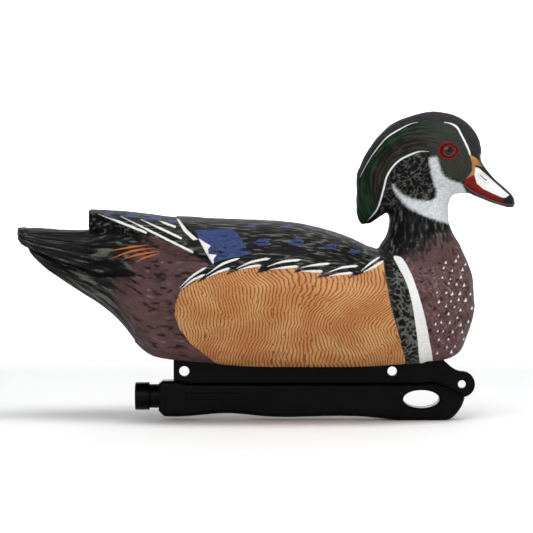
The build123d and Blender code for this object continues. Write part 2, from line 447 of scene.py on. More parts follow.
def wing_rings():
    rings = []
    for x in np.arange(-131.5, -9.0, 2.0):
        width = value_at(wing_half_width, x)
        top, edge, foot = (value_at(points, x) for points in (wing_top, wing_edge_z, wing_foot_z))
        ring = slab_ring(x, top, edge, foot, width, wing_arch)
        # Each wing ends in a round tip of its own, with a notch between the two.
        trimmed = smoothstep(-100, -131.5, x)
        from_tip = np.abs(np.abs(ring[:, 1]) / width - 0.5) * 2
        ring[:, 0] += corner_setback * trimmed * from_tip**2.4
        rings.append(ring)
    return rings


def neck_rings(low_z, high_z):
    rings = []
    angle = even_angles()
    for z in np.arange(low_z, high_z + 0.01, 2.0):
        rear, front, width = (value_at([(row[0], row[k]) for row in neck_levels], z) for k in (1, 2, 3))
        x = (rear + front) / 2 + (front - rear) / 2 * np.cos(angle)
        y = width * np.sin(angle)
        rings.append(np.stack([x, y, np.full(ring_count, z)], 1))
    return rings


# ---- head form
skull_top = [
    (66.9, 176), (67.4, 182), (70, 189), (72, 194), (77, 202), (81, 208),
    (86, 213.2), (90, 217.3), (95, 220.4), (99, 222.5), (108, 225.6), (117, 228),
    (124, 228.6), (135, 227), (144, 223.3), (148, 220.4), (152.5, 216), (157, 208),
    (158.8, 201), (159.6, 195),
]
skull_bottom = [
    (66.9, 160), (67.4, 152), (68.5, 148.6), (71, 145.7), (75, 145.6), (81.5, 149),
    (86, 152), (90, 154.6), (100, 156.5), (120, 161), (135, 166), (142.5, 168),
    (149, 168.4), (155, 170), (159.6, 190),
]
skull_half_width = [
    (66.9, 1), (68, 5), (71, 8.5), (76, 11.8), (83, 15), (92, 18), (106, 20.8),
    (124, 21.8), (138, 20.6), (147, 17.4), (154, 12.6), (158, 7.5), (159.6, 2),
]
bill_top = [
    (150, 199), (157, 197.5), (161, 190.4), (166, 183.6), (170, 179.2), (175, 174.8),
    (179, 171.2), (182.5, 167.6), (184.2, 164.6), (184.9, 161.2),
]
bill_bottom = [
    (150, 167), (157, 164.4), (166, 160.8), (175, 158), (180, 157), (183, 157.3),
    (184.9, 160),
]
bill_half_width = [
    (150, 12.5), (158, 11.4), (166, 10.4), (175, 9.6), (180, 8.8), (183, 6.6), (184.9, 1.2),
]


def skull_rings():
    xs = np.concatenate(
        [
            66.9 + closing_steps(6.0, 0.0, 10)[::-1],
            np.arange(75.0, 150.0, 2.0),
            closing_steps(150.0, 159.6, 12),
        ]
    )
    rings = []
    for x in xs:
        low, high = value_at(skull_bottom, x), value_at(skull_top, x)
        rings.append(section(x, low, high, value_at(skull_half_width, x), 2.15, 2.2, 0.5))
    return rings


def bill_rings():
    xs = np.concatenate([np.arange(150.0, 178.0, 1.5), closing_steps(178.0, 184.9, 12)])
    rings = []
    for x in xs:
        low, high = value_at(bill_bottom, x), value_at(bill_top, x)
        ridge = 1.7 + 0.5 * float(smoothstep(160, 184, x))
        rings.append(section(x, low, high, value_at(bill_half_width, x), ridge, 2.8, 0.36))
    return rings


# ---- paint outlines on the body
# Points are (x, height) in the side view.
flank = [
    (-64, 95.5), (-67.3, 87), (-68, 78), (-64.5, 68), (-56, 56.5), (-39, 43.5),
    (-29, 38), (104.8, 38), (97.5, 65.5), (92, 84.5), (88.5, 102.5), (86.5, 117),
    (71, 108.5), (60, 104.5), (64, 108.5), (46.5, 106.5), (37, 105), (42, 110), (25.5, 110),
    (20, 109), (24, 113.2), (2.5, 111), (-7.5, 108.5), (-4, 114), (-20.5, 111), (-30, 107.5),
    (-27, 112), (-44.5, 105), (-52, 101.5), (-46, 107.5),
]
side_pocket = [
    (-64.5, 98), (-44.5, 113.5), (-39, 117), (-20, 121), (-10, 123.5), (20, 120.5),
    (60.5, 117), (70.5, 117), (84, 121.5), (94, 121), (103.5, 106.5), (108.5, 88.5),
    (113.5, 68), (119, 38), (104, 38), (86, 100), (60, 100), (-46, 100), (-62, 92),
]
white_bar = rounded(
    [
        (94.3, 121), (98, 112), (102.3, 104), (107, 90), (111.2, 64.5), (115.2, 38),
        (123.8, 38), (120, 64.5), (115.5, 84.5), (109, 104.5), (103.5, 116), (99.5, 121),
    ],
    closed=True,
)
back = [
    (-131.5, 160), (-133, 141), (-114, 140.8), (-98.5, 137.5), (-86, 137), (-55, 123.8),
    (-45, 117.5), (-40, 112), (20, 112), (70, 112), (86, 118), (87, 119.5),
    (90, 122), (84, 127), (86, 160),
]
tail = [
    (-190, 150), (-132, 150), (-122, 150), (-106, 143), (-92, 137), (-85, 131),
    (-97, 125), (-101, 115), (-100, 109), (-112, 104), (-115, 92), (-108, 79),
    (-96, 62), (-84, 46), (-100, 46), (-190, 100),
]
neck_area = rounded(
    [
        (70, 131), (82, 123), (96, 118), (110, 123), (122, 131), (141, 137.5),
        (150, 145), (150, 240), (60, 240), (60, 140),
    ],
    closed=True,
)
speculum = [
    (-53, 140), (-46.5, 140.6), (-26.5, 142.2), (-20.5, 137.5), (-15.5, 128.5), (-10.5, 124),
    (-21, 120.8), (-32.5, 118.8), (-40, 115.5), (-49.5, 133.5),
]
speculum_edge = [
    (-50.5, 134.5), (-45.5, 131), (-41.5, 128.8), (-43.5, 126), (-43, 123.5), (-37, 122.5),
    (-39, 119.5), (-39.4, 114.8), (-45, 124),
]
wing_band = [(-66.8, 149.5), (-65, 148.6), (-58.2, 140.5), (-50.8, 134), (-54.2, 133.4), (-61.3, 139.8)]
wing_lines = [
    [(-124.5, 152.8), (-106.5, 145.8), (-89.5, 139)],
    [(-108, 150.8), (-88.5, 141.2), (-55, 124.6)],
    [(-93, 148.4), (-77.5, 141.4), (-63.5, 134.8)],
    [(-79.5, 147.4), (-68, 143.2)],
]
rust_strokes = [
    [(-116.5, 125.5), (-101, 128.3), (-87.5, 130)],
    [(-116.5, 119.5), (-101, 125), (-83.5, 128)],
    [(-107.5, 119), (-93.5, 123.2), (-80, 125.2)],
    [(-97, 117), (-90, 120.7), (-79.5, 123.7)],
]
# Blue feather edges: x, height, length, depth
blue_dashes = [
    (-118, 153.6, 10, 2.4), (-101.5, 151.6, 14, 2.8), (-85, 149.4, 14, 2.6),
    (-70, 147.2, 10, 2), (-13.5, 144, 11, 1.6), (14.5, 143.4, 10, 1.4),
    (30, 142.8, 8, 1.2), (-5, 131.5, 14, 5.2), (20.5, 131.5, 14.5, 4.8),
    (46.5, 128.5, 11, 3.8), (65, 125, 10, 3),
]
quill_from_depth = 3.5
quill_half_width = 0.35
# Pairs of white feather edges along the top of the flank
feather_edges = [
    [(-64.5, 98), (-55, 107), (-44.5, 113.3)],
    [(-63.5, 96.5), (-55, 103.5), (-45.5, 107.8)],
    [(-44.5, 107.5), (-33, 115), (-20, 119.6)],
    [(-44.5, 105.3), (-36, 109.5), (-27, 112.4)],
    [(-22, 112.3), (-10, 117.2), (2.5, 119.3)],
    [(-20.5, 111.2), (-12, 113.4), (-4, 114.4)],
    [(1, 113.6), (12, 117), (25.5, 118.4)],
    [(2.5, 111.3), (13, 112.8), (23.5, 113.7)],
    [(26, 112.8), (36, 114.6), (47, 115.6)],
    [(25.5, 110.2), (41.5, 110.2)],
    [(46, 109.3), (56, 112.6), (67.5, 113.8)],
    [(46.5, 106.7), (55, 108), (63.5, 108.9)],
    [(70, 110.2), (76, 115), (84, 120.6)],
    [(71.5, 109.2), (79, 113), (86.5, 117.4)],
]
tail_ridge = [
    (-184.5, 131), (-177, 127), (-162.5, 122), (-144, 114.5), (-124, 108.8), (-98.5, 109.5),
]
# Flecks on the breast: top row, gaps, and x of the breast's front and of the flecks' rear edge by height
fleck_rows = 15
fleck_columns = 6
fleck_top_z = 128
fleck_row_gap = 5.6
fleck_column_gap = 6.2
breast_front = [(48, 138), (62, 147.5), (85, 152), (112, 149), (130, 141)]
fleck_rear = [(40, 124), (64, 124.5), (100, 126.5), (130, 138)]
# Distances to small marks are capped at this.
near_marks = 9.0


def breast_flecks(u, v):
    """Rows of small white triangles down the front of the breast, wider apart towards the flank."""
    rng = np.random.default_rng(7)
    nearest = np.full(u.shape, 1e9)
    for row in range(fleck_rows):
        height = fleck_top_z - row * fleck_row_gap
        front, rear = value_at(breast_front, height), value_at(fleck_rear, height)
        for column in range(fleck_columns):
            x = front - 1.0 - column * fleck_column_gap - (row % 2) * fleck_column_gap / 2
            x += rng.uniform(-1.5, 1.5)
            z = height + rng.uniform(-1.8, 1.8)
            size = rng.uniform(0.65, 1.15) * (1.1 - 0.06 * column)
            shown = x > rear and rng.uniform() > 0.2
            if not shown:
                continue
            tip = (x + 0.3 * size, z + 1.5 * size)
            corners = [tip, (x - 0.95 * size, z - 1.1 * size), (x + 0.95 * size, z - 0.8 * size)]
            close = (np.abs(u - x) < 5) & (np.abs(v - z) < 5)
            nearest[close] = np.minimum(nearest[close], area_distance(corners, u[close], v[close]))
    return np.minimum(nearest, near_marks)


def dash_distance(dashes, u, v):
    """Distance to short brush marks."""
    nearest = np.full(u.shape, near_marks)
    for x, z, length, depth in dashes:
        ends = [(x - length / 2 + depth / 2, z), (x + length / 2 - depth / 2, z + 0.1 * depth)]
        mark = line_distance(ends, u, v, depth, 0.5, 0)
        # A dark quill runs along the middle of the larger ones.
        if depth > quill_from_depth:
            mark = np.maximum(mark, quill_half_width - line_distance(ends, u, v))
        nearest = np.minimum(nearest, mark)
    return nearest


line_spacing = 2.5


def vermiculation(u, v):
    """Phase, in lines, of the wavy lines carved in the flank. They lean forward at the front,
    curl round at the rear, and end in forks where one feather meets the next."""
    flat = u * 0
    bend = grain(u / 70, v / 24, flat, 3) * 9.0 + grain(u / 24, v / 9, flat, 4) * 2.2
    bend += grain(u / 7, v / 4, flat, 5) * 0.75
    lean = 0.5 * np.clip(v - 78, -10, 60) * smoothstep(-30, 90, u)
    curl = 0.008 * (v - 70) ** 2 * smoothstep(60, -60, u)
    fork = 0.5 * smoothstep(-0.04, 0.04, grain(u / 10, v / 8, flat, 6))
    return (u + bend - lean + curl) / line_spacing + fork


# ---- body skin
def plumage(co, u, v):
    """Carved strokes from about -1 to 1, and how deep they are. They run from the tail's end to
    the rump and along the back, and curl on the breast."""
    x, y, z = co.T
    low, high = curve(hull_bottom, x), curve(hull_top, x)
    share = np.clip((v - low) / (high - low), -0.3, 1.4)
    tail_strokes = grain(u / 26, share * 26, y / 8, 21) + 0.6 * grain(u / 15, share * 55, y / 3, 22)
    rump_strokes = grain(u / 5.5, share * 44, y / 4, 23) + 0.5 * grain(u / 3.5, share * 80, y / 2.5, 24)
    back_strokes = grain(u / 8, v / 1.5, y / 1.7, 25) + 0.6 * grain(u / 5, v / 0.9, y / 1, 26)
    turned, across = 0.8 * x + 0.6 * z, 0.8 * z - 0.6 * x
    curls = 1 - 2.2 * np.abs(grain(turned / 2.6, y / 2.6, across / 2.6, 27))
    curls -= 0.45 * grain(turned / 1.4, y / 1.4, across / 3.5, 28)
    strokes, depth = tail_strokes, np.full(len(co), 0.6)
    for start, end, other, other_depth in (
        (-125, -95, rump_strokes, 0.26),
        (-62, -40, back_strokes, 0.20),
        (84, 100, curls, 0.16),
    ):
        part = smoothstep(start, end, u)
        strokes = strokes * (1 - part) + other * part
        depth = depth * (1 - part) + other_depth * part
    on_wing = smoothstep(132, 140, v) * smoothstep(-40, -60, u) * (x > -133)
    strokes = strokes * (1 - on_wing) + back_strokes * on_wing
    depth = depth * (1 - on_wing) + 0.18 * on_wing
    # Upright strokes up the neck, which carry on above the seam
    on_neck = smoothstep(112, 126, z) * smoothstep(80, 90, x)
    upright = grain(x / 1.4, y / 1.4, z / 6, 34)
    strokes = strokes * (1 - on_neck) + upright * on_neck
    depth = depth * (1 - on_neck) + 0.16 * on_neck
    return strokes, depth


# Relief of the body, in millimetres
pocket_step = 1
flank_step = 0.5
flank_line_depth = 0.42
secondaries_step = 0.8
wing_seam_depth = 1.2
tail_edge_depth = 1.8
wing_feather_step = 0.35
# Where the secondary feathers begin: x and height
secondaries_edge = [(-67, 150), (-50, 133.5), (-39.5, 114.5)]


def carve_body(body):
    co = positions(body)
    x, y = co.T[:2]
    u, v = side_view(co)
    facing = vertex_values(body, "normal")
    on_flank = area_distance(flank, u, v)
    on_pocket = area_distance(side_pocket, u, v)
    on_back = area_distance(back, u, v)
    height = np.zeros(len(co))

    # The side pocket stands a little over the rump, and its feathers over the flank.
    height += pocket_step * smoothstep(1.5, -2.5, np.minimum(on_flank, on_pocket))
    height -= flank_step * smoothstep(0.5, -0.7, on_flank) * smoothstep(98, 104, v)

    # Wavy carved lines on the flank
    phase = vermiculation(u, v)
    wave = 0.5 + 0.5 * np.cos(2 * math.pi * phase)
    lines = smoothstep(0.4, -1.2, on_flank)
    height -= flank_line_depth * lines * wave**1.8

    # The row of secondary feathers overlaps the wing tips.
    step = line_distance(secondaries_edge, u, v)
    edge_x, edge_z = np.array(secondaries_edge[::-1]).T
    ahead = (u - np.interp(v, edge_z, edge_x)) > 0
    faded = np.where(ahead, smoothstep(30, 0, step), 0)
    height += secondaries_step * smoothstep(110, 118, v) * faded * smoothstep(-0.1, 0.6, step)

    # Seam between the folded wings
    middle = smoothstep(2.6, 0, np.abs(y)) * smoothstep(-60, -80, x)
    middle *= smoothstep(0.5, 0.9, facing[:, 2])
    height -= wing_seam_depth * middle * (x > -133)

    # The fan of the tail ends in a thick edge over the rump.
    below_ridge = area_distance(tail_ridge + [(-98, 40), (-190, 40)], u, v)
    height -= tail_edge_depth * smoothstep(0.5, -0.5, below_ridge) * smoothstep(-90, -108, u)

    # Wing tip feathers: long narrow steps under the white lines
    for line in wing_lines:
        near = line_distance(line, u, v)
        height += wing_feather_step * smoothstep(2.2, 0, near) * smoothstep(0, -1, on_back)

    # Strokes over the rest of the plumage
    strokes, depth = plumage(co, u, v)
    strokes -= 1.6 * smoothstep(2.2, 0.4, line_distance(tail_ridge, u, v + 1.2))
    flat = union(area_distance(white_bar, u, v), area_distance(speculum, u, v))
    height += (1 - lines) * depth * strokes * (0.4 + 0.6 * smoothstep(-0.5, 0.5, flat))
    co += facing * height[:, None]
    move_to(body, co)

    keep(body, "flank", on_flank)
    keep(body, "lines", phase)
    keep(body, "dark_pocket", on_pocket)
    keep(body, "white_bar", area_distance(white_bar, u, v))
    keep(body, "back", on_back)
    keep(body, "tail", area_distance(tail, u, v))
    keep(body, "neck", area_distance(neck_area, u, v))
    keep(body, "blue", union(area_distance(speculum, u, v), dash_distance(blue_dashes, u, v)))
    bands = union(area_distance(speculum_edge, u, v), area_distance(wing_band, u, v))
    wing_marks = brush_strokes(wing_lines, u, v, 1.6, 0.5)
    keep(body, "white", union(bands, wing_marks, brush_strokes(feather_edges, u, v, 1.6, 0.6, 0.1)))
    keep(body, "rust", brush_strokes(rust_strokes, u, v, 1.3, 0.5, 0.4))
    keep(body, "flecks", breast_flecks(u, v))
    keep(body, "strokes", strokes)


def make_body_form():
    """Skin of the hull, tail and wings, cut level at the seam in the neck."""
    parts = [
        loft("hull", hull_rings()),
        loft("fan", fan_rings(), upright_ends=True),
        loft("wings", wing_rings(), upright_ends=True),
        loft("neck_base", neck_rings(86, 150)),
    ]
    body = merged(parts, 1.0)
    relax(body, 10)
    x, _, z = positions(body).T
    base = smoothstep(78, 95, x) * smoothstep(82, 98, z)
    relax(body, 50, base * 0.9, hold_size=False)
    subdivide(body)
    cut_level(body, neck_cut_z, keep_below=True, beyond_x=neck_rear_x)
    body.name = "painted_body"
    return body


def cut_level(thing, z, keep_below, beyond_x):
    """Cuts the skin in front of beyond_x on a level plane and closes the cut."""
    mesh = bmesh.new()
    mesh.from_mesh(thing.data)
    faces = [f for f in mesh.faces if min(v.co.x for v in f.verts) > beyond_x * MM]
    edges = {e for f in faces for e in f.edges}
    geometry = list({v for f in faces for v in f.verts}) + list(edges) + faces
    found = bmesh.ops.bisect_plane(
        mesh,
        geom=geometry,
        plane_co=(0, 0, z * MM),
        plane_no=(0, 0, 1),
        clear_outer=keep_below,
        clear_inner=not keep_below,
    )
    rim = [e for e in found["geom_cut"] if isinstance(e, bmesh.types.BMEdge)]
    centre = sum((v.co for e in rim for v in e.verts), Vector()) / (2 * len(rim))
    hub = mesh.verts.new(centre)
    for edge in rim:
        mesh.faces.new((edge.verts[0], edge.verts[1], hub))
    bmesh.ops.recalc_face_normals(mesh, faces=mesh.faces[:])
    mesh.to_mesh(thing.data)
    mesh.free()
    thing.data.update()


body = make_body_form()
carve_body(body)
smooth_faces(body)
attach(body, "decoy")
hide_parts("body_shell")


def make_head_form():
    """Skin of the head and bill, down to the seam in the neck."""
    parts = [
        loft("skull", skull_rings()),
        loft("bill", bill_rings()),
        loft("neck", neck_rings(121, 177)),
    ]
    head = merged(parts, 0.8)
    relax(head, 8)
    x, _, z = positions(head).T
    jaw = smoothstep(176, 168, z) * smoothstep(84, 92, x) * smoothstep(160, 150, x)
    face = smoothstep(146, 152, x) * smoothstep(166, 160, x)
    relax(head, 40, np.maximum(jaw * 0.9, face * 0.35), hold_size=False)
    subdivide(head)
    cut_level(head, neck_cut_z, keep_below=False, beyond_x=0)
    head.name = "painted_head"
    return head


head = make_head_form()
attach(head, "decoy")
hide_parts("head_shell")


# ---- paint outlines on the head
crest_line = [
    (112, 220.5), (106, 219), (97.5, 214.5), (88.5, 208.5), (80.5, 199), (75, 190.5), (69.5, 180),
]
forehead_line = [
    (131.5, 220.5), (137.5, 219), (141.5, 216), (144.5, 210.5), (148, 203.5), (151, 196.5),
]
crest_foot_line = [
    (120, 199), (113, 199), (105, 196), (98.5, 192.5), (93, 187), (89, 180),
    (87, 172), (84.5, 163), (81.5, 155.5), (75, 148),
]
cap_area = crest_line[::-1] + forehead_line + [(160, 193), (170, 235), (60, 235), (50, 176)]
crest_area = crest_foot_line[::-1] + [
    (127, 192.5), (133, 183), (140, 178.5), (147, 177.5), (152, 184.5), (152.5, 190.5),
    (160, 200), (160, 240), (55, 240), (55, 150), (68, 140),
]
throat = rounded(
    [
        (121.5, 194.5), (126.5, 194.5), (129, 185.5), (133, 180), (139, 177), (144.5, 175),
        (148.5, 168.5), (150, 164), (140, 160), (140, 146), (128.5, 147.5), (121, 150),
        (112, 154), (105, 157.5), (99.5, 163), (95, 169), (93.5, 174.5), (97, 171),
        (103, 166), (112, 163), (121, 162.5), (125.5, 165.5), (126, 170), (124, 175.5),
        (122, 183.5), (120.5, 192),
    ],
    closed=True,
)
bill_area = [
    (151, 196.8), (152.5, 190.5), (152.5, 184.5), (150, 181), (146, 177.5), (146.2, 173),
    (150, 166.5), (150, 150), (200, 150), (200, 205), (157, 196.5),
]
bill_base = [
    (150.5, 197.5), (156.5, 194), (160.5, 188), (155, 189), (154.5, 181.5), (147, 177.5),
    (150, 181), (152.5, 184.5), (152.5, 190.5),
]
bill_red = [
    (146.5, 177.8), (154.5, 182), (156.5, 174.8), (160.5, 171.3), (169.5, 167.5), (176.5, 163.8),
    (174.5, 161.5), (162.5, 165), (153.5, 169.5), (147.5, 174.5),
]
bill_white = [
    (155, 187.5), (154.5, 181.5), (156, 175.5), (160.5, 171.5), (168, 168), (175, 165),
    (177.5, 165), (180.3, 167.3), (174.5, 172.2), (168, 178), (162.5, 183), (158, 186.8),
]
mouth_line = [(146, 175.5), (150, 171.5), (153.5, 169.5), (162.5, 165), (174, 161), (184, 160)]
nostril_line = [(159.2, 181.6), (163.6, 178.2)]
# Relief of the head, in millimetres
crest_step = 0.45
bill_step = 0.7
mouth_depth = 0.55
nostril_depth = 1
nostril_rim = 0.35
nostril_rim_radius = 2.2
lid_height = 0.7
# Places and sizes on the head
crest_centre = (115, 175)
crest_radius = 45
eye_centre = (134, 200)
eye_radius = 6.3
eye_edge_y = 18.2
eye_dome = 3
eye_sunk = 1.2
eye_segments = 64
eye_rings = 15
lid_half_length = 7.6
lid_half_height = 6.3


def carve_head(head):
    co = positions(head)
    x, y, z = co.T
    u, v = side_view(co)
    facing = vertex_values(head, "normal")
    on_crest = area_distance(crest_area, u, v)
    on_bill = area_distance(bill_area, u, v)
    height = np.zeros(len(co))

    # Locks of the crest, which sweep back and down round the head
    radius = np.hypot(u - crest_centre[0], v - crest_centre[1])
    turn = np.arctan2(crest_centre[0] - u, v - crest_centre[1]) * crest_radius
    locks = grain(radius / 1.1, turn / 13, y / 4, 31) + 0.7 * grain(radius / 0.7, turn / 7, y / 2, 32)
    feathers = smoothstep(0.5, 3, on_bill)
    crest_share = smoothstep(0.6, -0.6, on_crest) * feathers
    height += crest_share * (crest_step + 0.20 * locks)

    # Short strokes on the cheek and throat, longer ones down the neck
    turned, across = 0.8 * x + 0.6 * z, 0.8 * z - 0.6 * x
    short = 0.7 - 2.2 * np.abs(grain(turned / 2.2, y / 2.2, across / 2.2, 33))
    long = grain(x / 1.4, y / 1.4, z / 6, 34)
    low_share = smoothstep(165, 150, z)
    height += (1 - crest_share) * feathers * (0.11 * short * (1 - low_share) + 0.16 * long * low_share)

    # The bill starts a step below the face. It has a mouth line and nostrils.
    slit = line_distance(nostril_line, u, v)
    from_rim = np.abs(slit - nostril_rim_radius)
    height -= bill_step * smoothstep(0.6, -0.6, on_bill)
    height -= mouth_depth * smoothstep(1, 0.1, line_distance(rounded(mouth_line), u, v))
    height -= nostril_depth * smoothstep(1.3, 0.2, slit)
    height += nostril_rim * smoothstep(1, 0, from_rim)

    # Eye sockets with a raised lid that comes to a point in front
    along = (x - eye_centre[0]) / lid_half_length
    above = (z - eye_centre[1]) / lid_half_height * (1 + 0.45 * smoothstep(0.1, 1, along))
    oval = np.hypot(along, above)
    height *= smoothstep(0.9, 1.3, oval)
    height += lid_height * smoothstep(0.22, 0, np.abs(oval - 0.93))
    co += facing * height[:, None]
    socket = smoothstep(0.86, 0.74, oval)
    depth = np.minimum(np.abs(co[:, 1]), eye_edge_y - 0.3)
    co[:, 1] = np.sign(co[:, 1]) * (np.abs(co[:, 1]) * (1 - socket) + depth * socket)
    move_to(head, co)

    keep(head, "crest", on_crest)
    keep(head, "bill", on_bill)
    for name, outline in (
        ("cap", cap_area), ("neck", neck_area), ("throat", throat),
        ("bill_base", bill_base), ("bill_red", bill_red), ("bill_white", bill_white),
    ):
        keep(head, name, area_distance(outline, u, v))
    keep(head, "mouth", line_distance(rounded(mouth_line), u, v + 0.9, 0.5))
    lines = [
        line_distance(rounded(crest_line), u, v, 0.8, 0.3, 0.7),
        line_distance(rounded(forehead_line), u, v, 1.3, 0.3),
        line_distance(rounded(crest_foot_line), u, v, 1.2, 0.2, 0.1),
    ]
    keep(head, "white", union(*lines))
    keep(head, "nostril", union(from_rim - 0.12, slit - 0.5))
    keep(head, "lid", (np.abs(oval - 0.90) - 0.10) * lid_half_height)
    keep(head, "locks", locks)
    keep(head, "strokes", short * (1 - low_share) + long * low_share)
    keep(head, "front", smoothstep(105, 135, u))
    keep(head, "radius", radius)


carve_head(head)
smooth_faces(head)


# ---- eyes
def make_eye(name, node):
    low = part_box(node)[0]
    side = 1.0 if low[1] > 0 else -1.0
    angle = even_angles(eye_segments)
    levels = [(eye_radius, -eye_sunk)]
    for k in range(eye_rings):
        rise = math.pi / 2 * k / eye_rings
        levels.append((eye_radius * math.cos(rise), eye_dome * math.sin(rise)))
    rings = []
    for radius, out in levels:
        across = eye_centre[0] + radius * np.cos(angle)
        up = eye_centre[1] + radius * np.sin(angle)
        rings.append(np.stack([across, np.full(eye_segments, side * (eye_edge_y + out)), up], 1))
    if side > 0:
        rings = [ring[::-1] for ring in rings]
    eye = loft(name, rings)
    co = positions(eye)
    keep(eye, "radius", np.hypot(co[:, 0] - eye_centre[0], co[:, 2] - eye_centre[1]))
    smooth_faces(eye)
    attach(eye, "decoy")
    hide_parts(node)
    return eye


eyes = [make_eye("glass_" + node, node) for node in ("eye_left", "eye_right")]


# ---- materials
noise_roughness = 0.55


class Nodes:
    """Short names for building a material's nodes."""

    def __init__(self, name):
        self.material = bpy.data.materials.new(name)
        self.material.use_nodes = True
        self.tree = self.material.node_tree
        self.shader = self.tree.nodes["Principled BSDF"]

    def add(self, kind, inputs=None, **settings):
        node = self.tree.nodes.new(kind)
        for key, value in settings.items():
            setattr(node, key, value)
        self.fill(node, inputs or {})
        return node

    def fill(self, node, inputs):
        for name, value in inputs.items():
            self.link(value, node.inputs[name])

    def link(self, value, socket):
        """Joins a node's output to a socket, or sets a number or a colour in hex digits on it."""
        if isinstance(value, bpy.types.NodeSocket):
            self.tree.links.new(value, socket)
        else:
            socket.default_value = rgb(value) if isinstance(value, str) else value

    def math(self, operation, *values):
        node = self.add("ShaderNodeMath", operation=operation)
        for value, socket in zip(values, node.inputs):
            self.link(value, socket)
        return node.outputs[0]

    def number(self, name):
        return self.add("ShaderNodeAttribute", attribute_name=name).outputs["Fac"]

    def ramp(self, value, low, high):
        """0 below low, 1 above high, smooth between."""
        ends = {"Value": value, "From Min": low, "From Max": high}
        return self.add("ShaderNodeMapRange", ends, interpolation_type="SMOOTHSTEP").outputs[0]

    def mix(self, share, first, second):
        node = self.add("ShaderNodeMix", {"Factor": share}, data_type="RGBA")
        colours = [s for s in node.inputs if s.type == "RGBA"]
        self.link(first, colours[0])
        self.link(second, colours[1])
        return next(s for s in node.outputs if s.type == "RGBA")

    def noise(self, scale, detail=4, stretch=(1, 1, 1)):
        place = self.add("ShaderNodeTexCoord").outputs["Object"]
        place = self.add("ShaderNodeMapping", {"Vector": place, "Scale": stretch}).outputs[0]
        inputs = {"Vector": place, "Scale": scale, "Detail": detail, "Roughness": noise_roughness}
        return self.add("ShaderNodeTexNoise", inputs).outputs[0]

    def surface(self, colour, roughness, specular=0.5):
        """What is the same all over sits on the shader's own sockets."""
        inputs = {"Base Color": colour, "Roughness": roughness, "Specular IOR Level": specular}
        self.fill(self.shader, inputs)

    def bump(self, height, strength, distance, edge_radius=0):
        node = self.add("ShaderNodeBump", {"Height": height, "Strength": strength, "Distance": distance})
        if edge_radius:
            edge = self.add("ShaderNodeBevel", {"Radius": edge_radius}, samples=6)
            self.link(edge.outputs[0], node.inputs["Normal"])
        self.link(node.outputs[0], self.shader.inputs["Normal"])


def rgb(text):
    """Linear colour from a display colour written as six hex digits."""
    parts = [int(text[i : i + 2], 16) / 255 for i in (0, 2, 4)]
    return tuple(c / 12.92 if c <= 0.04045 else ((c + 0.055) / 1.055) ** 2.4 for c in parts) + (1,)


class Paint(Nodes):
    """Brushed matt paint: the noises, strokes and ragged edges that both skins share."""

    def __init__(self, name, blotch_scale):
        super().__init__(name)
        self.edge_noise = self.math("SUBTRACT", self.noise(900, 3), 0.5)
        self.streaks = self.noise(260, 5, (1, 4, 4))
        self.blotches = self.noise(blotch_scale, 4)
        self.speckle = self.noise(700, 3, (1, 2.5, 2.5))
        brushed = self.math("MULTIPLY", self.math("SUBTRACT", self.streaks, 0.5), 1.2)
        self.strokes = self.math("ADD", self.number("strokes"), brushed)

    def inside(self, name, softness=0.35, ragged=1, noise=None):
        """1 inside a painted area and 0 outside it."""
        noise = self.edge_noise if noise is None else noise
        distance = self.math("ADD", self.number(name), self.math("MULTIPLY", noise, ragged))
        return self.ramp(distance, softness, -softness)

    def maroon_and_black_painted_shade_and_highlight(self):
        """Two plumage colours, both darker in the carved grooves as painted shade. The black also has a
        painted highlight, greyer on the ridges.
        """
        maroon = self.mix(self.ramp(self.blotches, 0.4, 0.7), "5a4140", "483334")
        # Painted shade: the maroon darkens in the grooves.
        maroon = self.mix(self.ramp(self.strokes, 0, -0.9), maroon, "1c1416")
        # Painted shade: the black is darkest in the grooves.
        black = self.mix(self.ramp(self.strokes, -0.35, 0.35), "040404", "222222")
        # Painted highlight: the black turns grey on the ridges.
        black = self.mix(self.ramp(self.strokes, 0.2, 0.8), black, "5a5a55")
        return maroon, black

    def roughness(self):
        return self.math("ADD", self.math("MULTIPLY", self.streaks, 0.25), 0.42)

    def finish(self, colour, roughness, bump_strength):
        self.surface(colour, roughness, 0.10)
        relief = self.math("ADD", self.streaks, self.math("MULTIPLY", self.speckle, 0.6))
        self.bump(relief, bump_strength, 0.0004)
        return self.material


